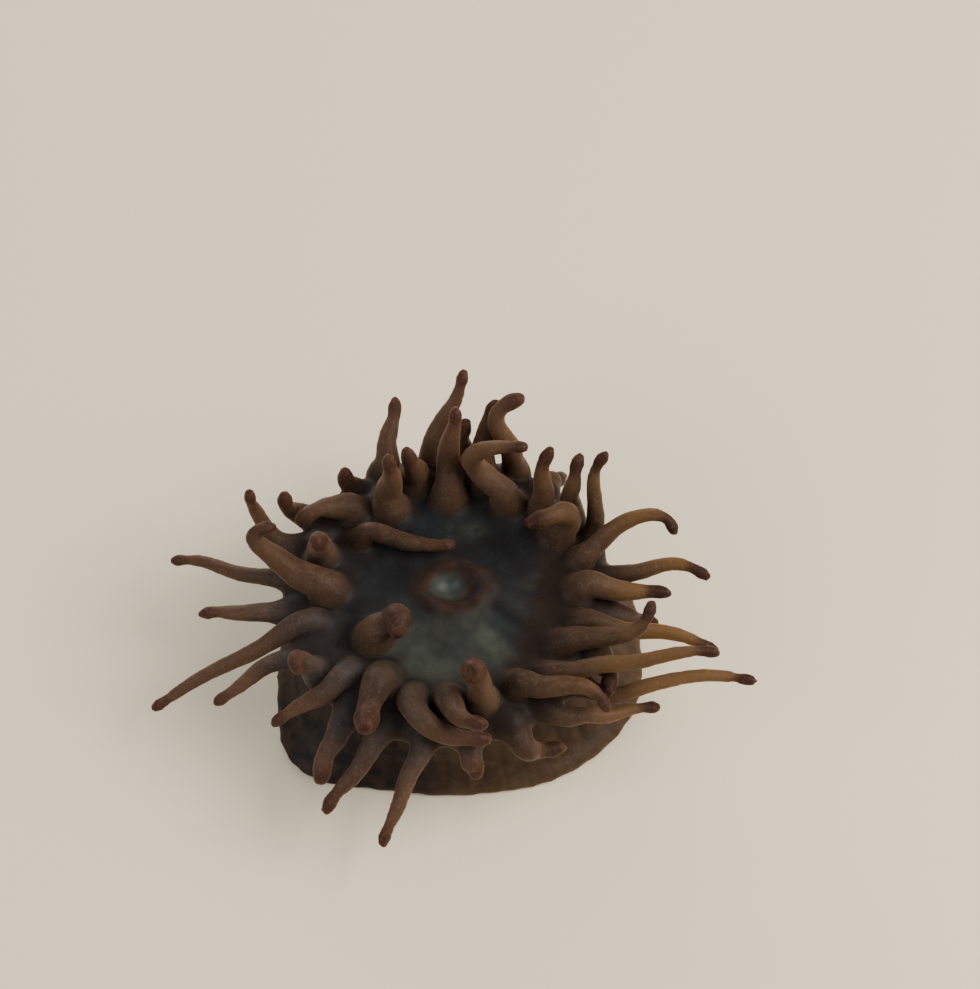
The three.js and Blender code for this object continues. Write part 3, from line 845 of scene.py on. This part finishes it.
class Nodes:
    """Adds nodes to a material: a type, its settings, and the values or links of its sockets."""

    def __init__(self, material):
        material.use_nodes = True
        self.tree = material.node_tree
        self.tree.nodes.clear()

    def add(self, kind, settings, inputs, output=0):
        """One node; its socket for use in sums, if it has one."""
        node = self.tree.nodes.new(kind)
        for name, value in settings.items():
            setattr(node, name, value)
        for key, value in inputs.items():
            socket = node.inputs[key]
            if isinstance(value, Socket):
                self.tree.links.new(value.out, socket)
            else:
                socket.default_value = value
        return Socket(self, node.outputs[output]) if node.outputs else None

    def attribute(self, name, output="Fac"):
        """Numbers or vectors kept on the skin's points."""
        return self.add("ShaderNodeAttribute", {"attribute_name": name}, {}, output)

    def blend(self, amount, a, b):
        """One colour mixed with another by an amount."""
        settings = {"data_type": "RGBA", "clamp_factor": True}
        a, b = (colour if isinstance(colour, Socket) else rgb(colour) for colour in (a, b))
        return self.add("ShaderNodeMix", settings, {0: amount, 6: a, 7: b}, output=2)

    def between(self, value, low, high):
        """0 where a value is under low, 1 where it is over high, and smooth between; low may be over high."""
        if low > high:
            return 1 - self.between(value, high, low)
        settings = {"interpolation_type": "SMOOTHSTEP", "clamp": True}
        return self.add("ShaderNodeMapRange", settings, {"Value": value, "From Min": low, "From Max": high})

    def noise(self, place, scale, detail, rough, warp=0.0):
        """Soft noise in space, its scale in clouds to the millimetre."""
        inputs = {"Vector": place, "Scale": scale, "Detail": detail, "Roughness": rough, "Distortion": warp}
        return self.add("ShaderNodeTexNoise", {}, inputs)


def rgb(colour):
    """A colour as its socket takes it, with no transparency."""
    return (*colour[:3], 1.0)


# Noise for the flesh's colours: scale, detail and roughness.
NOISES = {
    "haze": (0.4, 2.5, 0.5),
    "blotch": (0.7, 4.0, 0.55),
    "mottle": (1.0, 3.0, 0.55),
    "grain": (3.4, 3.0, 0.6),
    "fleck": (7.0, 2.0, 0.5),
}


def tentacle_colour(n, c, m):
    """Cool or dark at the root, the dark partly painted shade, brown along, yellow with painted sunlight on
    the lit side, some tentacles darkened with painted shade, red-brown towards the tip, and a ring round the
    pore.
    """
    brown = n.blend(n.between(m.tone, 0.0, 1.0) * 0.45, c.tentacle, c.tentacle_light)
    # painted sunlight: tentacles on the lit side of the crown turn yellow
    sunny = n.blend(m.warm * n.between(m.from_root, 3.0, 10.0) * 0.85, brown, c.tentacle_painted_sun)
    # the roots' own darker colour with painted shade over it, strongest on the side painted as sunlit
    root_shade = n.between(m.from_root, 9.0, 0.8) * (0.5 + 0.2 * m.warm)
    rooted = n.blend(root_shade, sunny, c.tentacle_root_and_shade)
    cooled = n.blend(n.between(m.from_root, 8.0, 1.0) * m.cool, rooted, c.tentacle_cool)
    cloudy = n.blend(n.between(m.blotch, 0.42, 0.66) * 0.3, cooled, c.tentacle_light)
    # painted shade on the duskier tentacles
    dusk_shaded = n.blend(m.dusk * (0.5 + 0.3 * n.between(m.blotch, 0.6, 0.4)), cloudy, c.tentacle_root_and_shade)
    reddened = n.blend(n.between(m.from_tip, 4.0, 0.8) * 0.6, dusk_shaded, c.tip_ring)
    tip_shade = n.between(m.from_tip + m.warm * -0.8, 2.8, 0.8) * (0.62 + 0.36 * m.warm)
    darker = n.blend(tip_shade, reddened, c.tentacle_tip)
    flushed = n.blend(n.between(m.from_tip, 5.0, 1.4) * m.ruddy * 0.8, darker, c.lips)
    ring = n.between(m.off_pore, 0.85, 0.65) * n.between(m.off_pore, 0.35, 0.55)
    ringed = n.blend(ring * 0.5, flushed, c.tip_ring)
    pore = n.blend(n.between(m.off_pore, 0.3, 0.1) * 0.5, ringed, c.pore)
    speckled = n.blend(n.between(m.grain, 0.5, 0.7) * 0.2, pore, c.tentacle_pale)
    return n.blend(n.between(m.fleck, 0.4, 0.25) * 0.35, speckled, c.pore)


def disc_colour(n, c, m):
    """Dark and bluer behind the mouth, its own dark colour with painted shade of the crown over it, with a
    clouded green-grey field in front, soft marks with a painted shadow among them, lips and throat.
    """
    clouds = n.between(m.haze, 0.35, 0.65)
    # outside the front field the disc stays dark and bluish: its own colour, and painted shade under the
    # crown
    deep_and_shaded = n.blend(clouds * 0.7, c.disc_deep, c.disc_blue)
    field = n.blend(m.front * (0.55 + 0.45 * clouds), deep_and_shaded, c.disc)
    bluer = n.blend(m.blue * (0.6 + 0.4 * clouds), field, c.disc_slate)
    rays = n.blend(m.ray * 0.2, bluer, c.disc_deep)
    patch = n.blend(m.pale * (0.45 + 0.55 * n.between(m.blotch, 0.35, 0.6)), rays, c.disc_pale)
    mottled = n.blend(n.between(m.mottle, 0.58, 0.36) * (0.55 - 0.3 * m.front), patch, c.disc_deep)
    # dark streaks on the disc, and a painted shadow beside the lips
    streaked_and_shadowed = n.blend(m.dark * 0.85, mottled, c.column_dark)
    # brown edge between the roots, on the right partly painted shade
    brown_edge = n.blend(m.browning * 0.85, streaked_and_shadowed, c.disc_brown)
    cool_edge = n.blend(m.browning * m.cool * 0.7, brown_edge, c.tentacle_cool)
    lips_dark = n.blend(n.between(m.blotch, 0.38, 0.6) * 0.75, c.lips, c.disc_brown)
    lipped = n.blend(m.lip * (0.4 + 0.6 * n.between(m.mottle, 0.36, 0.56)), cool_edge, lips_dark)
    lining = n.blend(clouds, c.disc_slate, c.disc)
    gulped = n.blend(n.between(m.throat + m.blotch * 0.8, 0.5, 1.15), lipped, lining)
    lobed = n.blend(m.throat * m.lobe * 0.85, gulped, c.throat)
    return n.blend(n.between(m.grain, 0.54, 0.74) * 0.14, lobed, c.disc_pale)


def column_colour(n, c, m):
    """Brown, paler and mottled low down, with fine upright lines and one shaded side."""
    wall = n.blend(n.between(m.blotch, 0.38, 0.68) * 0.6, c.column, c.column_light)
    lined = n.blend(m.wall_line * 0.4, wall, c.column_dark)
    low = n.blend(n.between(m.height, 3.2, 0.2) * 0.4, lined, c.column_light)
    flecked = n.blend(n.between(m.fleck, 0.62, 0.75) * 0.3, low, c.tentacle_pale)
    return n.blend(m.shade * (0.68 + 0.22 * n.between(m.blotch, 0.55, 0.4)), flecked, c.column_dark)


def flesh_material(colours, mark_names):
    """The skin's finish: wet, soft and a little see-through, coloured by where on the body a point lies."""
    material = bpy.data.materials.new("anemone_flesh")
    n = Nodes(material)
    place = n.attribute("place", "Vector")
    marks = {name: n.attribute(name) for name in mark_names}
    noises = {name: n.noise(place, *kind) for name, kind in NOISES.items()}
    m = SimpleNamespace(**marks, **noises)
    body = n.blend(n.between(m.height, 11.8, 13.0), column_colour(n, colours, m), disc_colour(n, colours, m))
    skin_colour = n.blend(m.flesh, body, tentacle_colour(n, colours, m))
    wrinkle = n.noise(place, 2.2, 4.0, 0.55, 0.4)
    relief = wrinkle * 0.6 + m.grain * 0.3 + m.fleck * 0.1
    shader = n.add(
        "ShaderNodeBsdfPrincipled",
        {"subsurface_method": "RANDOM_WALK"},
        {
            # the nooks between the roots get painted shade
            "Base Color": n.blend(m.nook_shade * 0.55, skin_colour, colours.nook_shade),
            "Roughness": 0.32 + 0.16 * m.grain + 0.1 * m.blotch + 0.12 * m.lip,
            "Normal": n.add("ShaderNodeBump", {}, {"Strength": 0.35, "Distance": 0.2 * MM, "Height": relief}),
            "IOR": 1.38,
            "Specular IOR Level": 0.1,
            "Subsurface Weight": 0.9,
            "Subsurface Radius": (1.0, 0.6, 0.4),
            "Subsurface Scale": 1.6 * MM,
            "Sheen Weight": 0.03,
            "Sheen Roughness": 0.4,
            "Sheen Tint": (0.85, 0.6, 0.42, 1.0),
        },
    )
    n.add("ShaderNodeOutputMaterial", {}, {"Surface": shader})
    return material


def plain_material(name, colour, roughness):
    """A matt material of one colour."""
    material = bpy.data.materials.new(name)
    n = Nodes(material)
    inputs = {"Base Color": rgb(colour), "Roughness": roughness, "Specular IOR Level": 0.2}
    shader = n.add("ShaderNodeBsdfPrincipled", {}, inputs)
    n.add("ShaderNodeOutputMaterial", {}, {"Surface": shader})
    return material


# ---------------------------------------------------------------- sizes and colours a user can change


def colour_prop(name, description, default):
    """A colour that a user can change, in linear red, green and blue."""
    return FloatVectorProperty(
        name=name, description=description, default=default, subtype="COLOR", size=3, min=0.0, max=1.0
    )


class AnemoneSizes(bpy.types.PropertyGroup):
    """Sizes of the skin."""

    voxel: FloatProperty(
        name="Fineness", description="Side of the cells the skin is first made of", default=0.3 * MM,
        min=0.15 * MM, max=1.0 * MM, unit="LENGTH", precision=5,
    )


class AnemoneColours(bpy.types.PropertyGroup):
    """Colours of the flesh."""

    tentacle: colour_prop("Tentacle", "Most of each tentacle", (0.064, 0.032, 0.017))
    # painted sunlight on the lit side of the crown
    tentacle_painted_sun: colour_prop("Yellow tentacle", "Sunlit side of the crown", (0.118, 0.063, 0.017))
    # the roots' own darker colour and painted shade, also used for the duskier tentacles
    tentacle_root_and_shade: colour_prop("Tentacle root", "Where tentacles leave the disc", (0.026, 0.014, 0.009))
    tentacle_cool: colour_prop("Cool root", "Lilac-grey roots on one side", (0.033, 0.028, 0.026))
    tentacle_tip: colour_prop("Tentacle tip", "Last millimetres of each tentacle", (0.024, 0.009, 0.006))
    tentacle_light: colour_prop("Light tentacle", "Paler tentacles and clouds", (0.088, 0.050, 0.029))
    tentacle_pale: colour_prop("Grains", "Fine pale grains", (0.17, 0.11, 0.07))
    tip_ring: colour_prop("Red tip", "Flush of red before a tip and round its pore", (0.062, 0.024, 0.015))
    # painted shade for the folds between the roots
    nook_shade: colour_prop("Nook", "Shaded folds between the roots", (0.010, 0.006, 0.005))
    pore: colour_prop("Pore", "Pore at the very tip", (0.014, 0.005, 0.003))
    disc: colour_prop("Disc", "Oral disc in front of the mouth", (0.031, 0.032, 0.025))
    disc_brown: colour_prop("Brown disc", "Edge of the disc, between the roots", (0.016, 0.008, 0.005))
    disc_slate: colour_prop("Slate disc", "Blue-grey marks and the mouth's lining", (0.014, 0.018, 0.020))
    disc_deep: colour_prop("Deep disc", "Darkest part of the oral disc", (0.010, 0.0095, 0.0095))
    disc_blue: colour_prop("Blue disc", "Clouds on the dark part of the disc", (0.016, 0.0165, 0.019))
    disc_pale: colour_prop("Pale disc", "Pale patches of the disc", (0.054, 0.060, 0.044))
    lips: colour_prop("Lips", "Swollen ring round the mouth", (0.029, 0.014, 0.009))
    throat: colour_prop("Throat", "Pale lobes inside the mouth", (0.095, 0.100, 0.088))
    column: colour_prop("Column", "Wall of the body", (0.040, 0.022, 0.013))
    column_light: colour_prop("Light column", "Paler mottling of the wall", (0.080, 0.047, 0.024))
    column_dark: colour_prop("Dark column", "Lines and shaded side of the wall", (0.008, 0.007, 0.0075))


class AnemoneStage(bpy.types.PropertyGroup):
    """Floor, light and camera."""

    floor: colour_prop("Floor", "Plain pale floor", (0.70, 0.59, 0.43))
    elevation: FloatProperty(
        name="Elevation", description="Height of the camera over the horizon", default=math.radians(58),
        subtype="ANGLE",
    )
    lens: FloatProperty(
        name="Lens", description="Focal length in millimetres", default=150.0, min=20.0, max=400.0
    )
    pixels_per_mm: FloatProperty(
        name="Pixels per mm", description="Size of the animal in the picture", default=10.0, min=1.0, max=40.0
    )
    light: FloatProperty(
        name="Light", description="Brightness of the lamps", default=1.0, min=0.0, max=10.0
    )


# ---------------------------------------------------------------- operators


class ANEMONE_OT_skin(bpy.types.Operator):
    """Grow the skin over the foot, column, disc, lips and every tentacle"""

    bl_idname = "anemone.skin"
    bl_label = "Skin"

    def execute(self, context):
        sizes = context.scene.anemone_sizes
        points, quads, near, flesh, nook_shade = build_skin(sizes.voxel / MM)
        mesh = bpy.data.meshes.new("skin")
        mesh.vertices.add(len(points))
        mesh.vertices.foreach_set("co", (points * MM).astype(np.float32).reshape(-1))
        mesh.loops.add(quads.size)
        mesh.loops.foreach_set("vertex_index", quads.astype(np.int32).reshape(-1))
        mesh.polygons.add(len(quads))
        mesh.polygons.foreach_set("loop_start", np.arange(0, quads.size, 4, dtype=np.int32))
        mesh.update(calc_edges=True)
        mesh.validate()
        mesh.shade_smooth()
        marks = skin_marks(points, near, flesh, nook_shade)
        for name, values in marks.items():
            mark = mesh.attributes.new(name, "FLOAT", "POINT")
            mark.data.foreach_set("value", values.astype(np.float32))
        place = mesh.attributes.new("place", "FLOAT_VECTOR", "POINT")
        place.data.foreach_set("vector", points.astype(np.float32).reshape(-1))
        skin = bpy.data.objects.new("skin", mesh)
        context.scene.collection.objects.link(skin)
        mesh.materials.append(flesh_material(context.scene.anemone_colours, marks))
        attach(skin, "root")
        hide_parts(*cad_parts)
        print("skin:", len(points), "points,", len(quads), "quads")
        return {"FINISHED"}


def facing(bearing):
    """How far each tentacle faces a bearing: 1 if it stands there, and 0 from a quarter turn away."""
    return np.array(
        [max(0.0, math.cos(math.radians(slot * 360 / SLOTS - bearing))) ** 1.5 for slot in range(SLOTS)]
    )


def per_tentacle(strengths):
    """A number for each tentacle, from a table of those that have one."""
    return np.array([strengths.get(slot, 0.0) for slot in range(SLOTS)])


def skin_marks(points, near, flesh, nook_shade):
    """Numbers kept on the skin's points for its colours."""
    x, y, z = points.T
    away = np.hypot(x, y)
    turn = np.arctan2(y, x)
    mx, my = x - MOUTH_AT[0], y - MOUTH_AT[1]
    lip_away = np.hypot(mx / LIP_EDGE[0], my / LIP_EDGE[1])
    tone = np.random.default_rng(TONE_SEED).random(SLOTS)
    ruddy = per_tentacle(RUDDY)
    rays = 0.5 + 0.5 * np.cos(unevenly(FURROWS, turn, 0.4, 3))
    right = np.clip(np.cos(turn + 0.25), 0, 1) ** 1.5
    left = np.clip(np.cos(turn - 3.0), 0, 1) ** 2
    # the brown edge between the roots is the roots' own brown; on the right it reaches further in as painted
    # shade under the tentacles
    brown_from = 11.2 - 4.6 * right - 2.4 * left + 0.5 * np.cos(FURROWS * turn + 1.0)
    in_mouth = smoothstep(0.78, 0.45, lip_away) * smoothstep(15.1, 14.6, z)
    return {
        "flesh": flesh,
        "nook_shade": nook_shade,
        "from_root": near.run,
        "from_tip": near.from_tip,
        "off_pore": near.off_pore,
        "tone": tone[near.owner],
        # how much painted shade each tentacle gets
        "dusk": per_tentacle(DUSKY_SHADE)[near.owner],
        "ruddy": ruddy[near.owner],
        "cool": (facing(COOL_AT) * (1 - 0.9 * ruddy))[near.owner],
        # how much painted sunlight each tentacle gets
        "warm": facing(PAINTED_SUN_AT)[near.owner],
        "browning": smoothstep(0.0, 3.6, away - brown_from),
        # dark streaks, and a painted shadow beside the lips
        "pale": soft_marks(PALE_MARKS, x, y),
        "dark": soft_marks(DARK_AND_SHADOW_MARKS, x, y),
        "blue": soft_marks(BLUE_MARKS, x, y),
        "height": z,
        "lip": smoothstep(1.3, 0.92, lip_away) * smoothstep(12.8, 14.0, z) * (1 - flesh),
        "throat": in_mouth * smoothstep(2.2, -0.4, mx) * smoothstep(-1.7, -0.4, my),
        "lobe": lobes_at(x, y, 0.7, LOBE_PALENESS),
        "ray": rays**3 * smoothstep(3.8, 6.0, away) * smoothstep(13.0, 9.0, away),
        "wall_line": furrows(turn) ** 14,
        "shade": smoothstep(0.6, 0.95, np.cos(turn - SHADE_AT)) * smoothstep(13.0, 9.0, z),
        # the lighter field in front of the mouth; behind it the disc is left dark, partly painted shade
        "front": smoothstep(0.5, -4.5, y - 0.1 * x) * smoothstep(9.0, 4.5, np.abs(x - 0.6)),
    }


def soft_marks(marks, x, y):
    """How strongly each point lies in one of the soft marks, each a line with a half width."""
    total = np.zeros_like(x)
    for start, end, wide, strength in marks:
        along = np.subtract(end, start)
        across = np.stack([x - start[0], y - start[1]], 1)
        share = np.clip(across @ along / (along @ along), 0, 1)
        distance = np.linalg.norm(across - share[:, None] * along, axis=1)
        total = np.maximum(total, strength * smoothstep(1.25 * wide, 0.1 * wide, distance))
    return total


# The lamps: place and side in metres, power and colour.
LAMPS = {
    "key": ((0.25, -0.02, 0.27), 0.26, 2.4, (1.0, 0.97, 0.92)),
    "fill": ((-0.28, -0.18, 0.22), 0.30, 1.1, (0.9, 0.95, 1.0)),
    "back": ((-0.12, 0.32, 0.12), 0.20, 0.8, (1.0, 0.98, 0.95)),
}
SKY = (0.9, 0.94, 1.0, 1.0)
SKY_STRENGTH = 0.45
FLOOR_HALF = 1.5  # half the side of the floor, in metres
FLOOR_BELOW = 0.05  # how far it lies under the foot
SENSOR = 36.0  # width of the camera's sensor


class ANEMONE_OT_stage(bpy.types.Operator):
    """Lay the floor, hang the lights and set the camera"""

    bl_idname = "anemone.stage"
    bl_label = "Stage"

    def execute(self, context):
        scene = context.scene
        stage = scene.anemone_stage
        floor = pale_floor(stage.floor)
        lamps = [
            area_light(name, place, size, power * stage.light, colour)
            for name, (place, size, power, colour) in LAMPS.items()
        ]
        camera = long_camera(stage)
        for thing in (floor, *lamps, camera):
            scene.collection.objects.link(thing)
        scene.world = soft_sky()
        scene.camera = camera
        return {"FINISHED"}


def pale_floor(colour):
    """A plain square floor, just under the foot."""
    mesh = bpy.data.meshes.new("floor")
    signs = ((-1, -1), (1, -1), (1, 1), (-1, 1))
    corners = [(FLOOR_HALF * sign_x, FLOOR_HALF * sign_y, 0) for sign_x, sign_y in signs]
    mesh.from_pydata(corners, [], [(0, 1, 2, 3)])
    mesh.materials.append(plain_material("pale_floor", colour, 0.8))
    floor = bpy.data.objects.new("floor", mesh)
    floor.location.z = -FLOOR_BELOW * MM
    return floor


def soft_sky():
    """Even light from all round."""
    world = bpy.data.worlds.new("soft_sky")
    world.use_nodes = True
    inputs = world.node_tree.nodes["Background"].inputs
    inputs["Color"].default_value = SKY
    inputs["Strength"].default_value = SKY_STRENGTH
    return world


def long_camera(stage):
    """A camera with a long lens that puts the middle of the disc at its place in the picture."""
    lens = bpy.data.cameras.new("camera")
    lens.lens = stage.lens
    lens.sensor_width = SENSOR
    lens.clip_start = 0.01
    lens.clip_end = 10.0
    camera = bpy.data.objects.new("camera", lens)
    back = Vector((0, -math.cos(stage.elevation), math.sin(stage.elevation)))
    right = Vector((1, 0, 0))
    up = back.cross(right)
    pixel = MM / stage.pixels_per_mm
    aim = Vector((0, 0, DISC_HEIGHT * MM))
    aim += right * (IMAGE[0] / 2 - DISC_IN_IMAGE[0]) * pixel
    aim += up * (DISC_IN_IMAGE[1] - IMAGE[1] / 2) * pixel
    camera.location = aim + back * (lens.lens / lens.sensor_width * max(IMAGE) * pixel)
    camera.rotation_euler = back.to_track_quat("Z", "Y").to_euler()
    return camera


def area_light(name, place, size, power, colour):
    """A square soft light that faces the animal."""
    lamp = bpy.data.lights.new(name, "AREA")
    lamp.shape = "SQUARE"
    lamp.size = size
    lamp.energy = power
    lamp.color = colour
    holder = bpy.data.objects.new(name, lamp)
    holder.location = place
    holder.rotation_euler = Vector(place).to_track_quat("Z", "Y").to_euler()
    return holder


class ANEMONE_PT_panel(bpy.types.Panel):
    """Sizes, colours and steps of the sea anemone"""

    bl_label = "Sea anemone"
    bl_idname = "ANEMONE_PT_panel"
    bl_space_type = "VIEW_3D"
    bl_region_type = "UI"
    bl_category = "Anemone"

    def draw(self, context):
        layout = self.layout
        for group_name in GROUPS:
            group = getattr(context.scene, group_name)
            box = layout.box()
            for name in type(group).__annotations__:
                box.prop(group, name)
        for step in STEPS:
            layout.operator(step.bl_idname)


STEPS = (ANEMONE_OT_skin, ANEMONE_OT_stage)
GROUPS = {"anemone_sizes": AnemoneSizes, "anemone_colours": AnemoneColours, "anemone_stage": AnemoneStage}


def register():
    """Register the classes and their settings."""
    for kind in (*GROUPS.values(), *STEPS, ANEMONE_PT_panel):
        bpy.utils.register_class(kind)
    for name, kind in GROUPS.items():
        setattr(bpy.types.Scene, name, PointerProperty(type=kind))


def unregister():
    """Take the settings and the classes away again."""
    for name in GROUPS:
        delattr(bpy.types.Scene, name)
    for kind in reversed((*GROUPS.values(), *STEPS, ANEMONE_PT_panel)):
        bpy.utils.unregister_class(kind)


def main():
    """Build the skin and the stage."""
    register()
    bpy.ops.anemone.skin()
    bpy.ops.anemone.stage()


if __name__ == "__main__":
    main()
